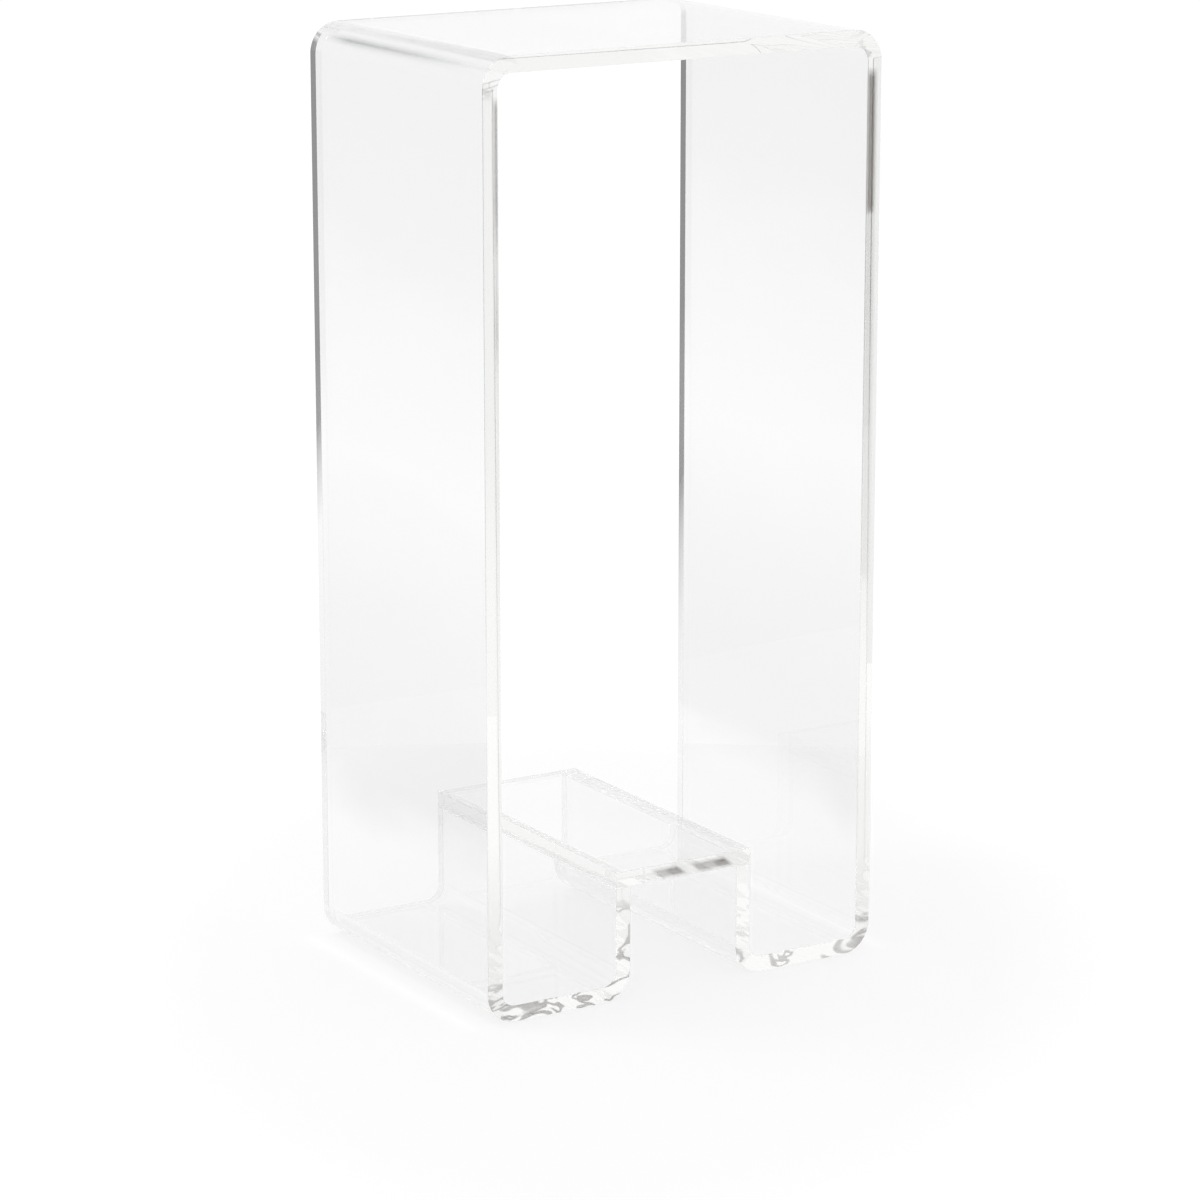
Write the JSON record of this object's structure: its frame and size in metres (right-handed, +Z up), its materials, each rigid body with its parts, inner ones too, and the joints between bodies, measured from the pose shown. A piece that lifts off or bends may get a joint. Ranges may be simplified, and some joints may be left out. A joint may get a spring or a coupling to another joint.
{
  "type": "display stand",
  "caption": "Gate-shaped stand of thick clear acrylic: a folded strip makes the uprights, top and low side channels, and a flat plate bridges the inner risers.",
  "frame": {"origin": "on the ground, under the middle of the stand", "axes": "+X to the right along the width, +Y to the back along the depth, +Z up"},
  "size_m": [0.35, 0.262, 0.732],
  "materials": {
    "clear_acrylic": "transparent cast acrylic, polished faces and flame-polished edges",
    "clear_cement": "transparent cured acrylic cement with small trapped bubbles"
  },
  "bodies": {
    "root": {"bent_sheet": "clear_acrylic", "bridge_plate": "clear_acrylic", "left_cement_joint": "clear_cement", "right_cement_joint": "clear_cement"}
  },
  "joints": []
}
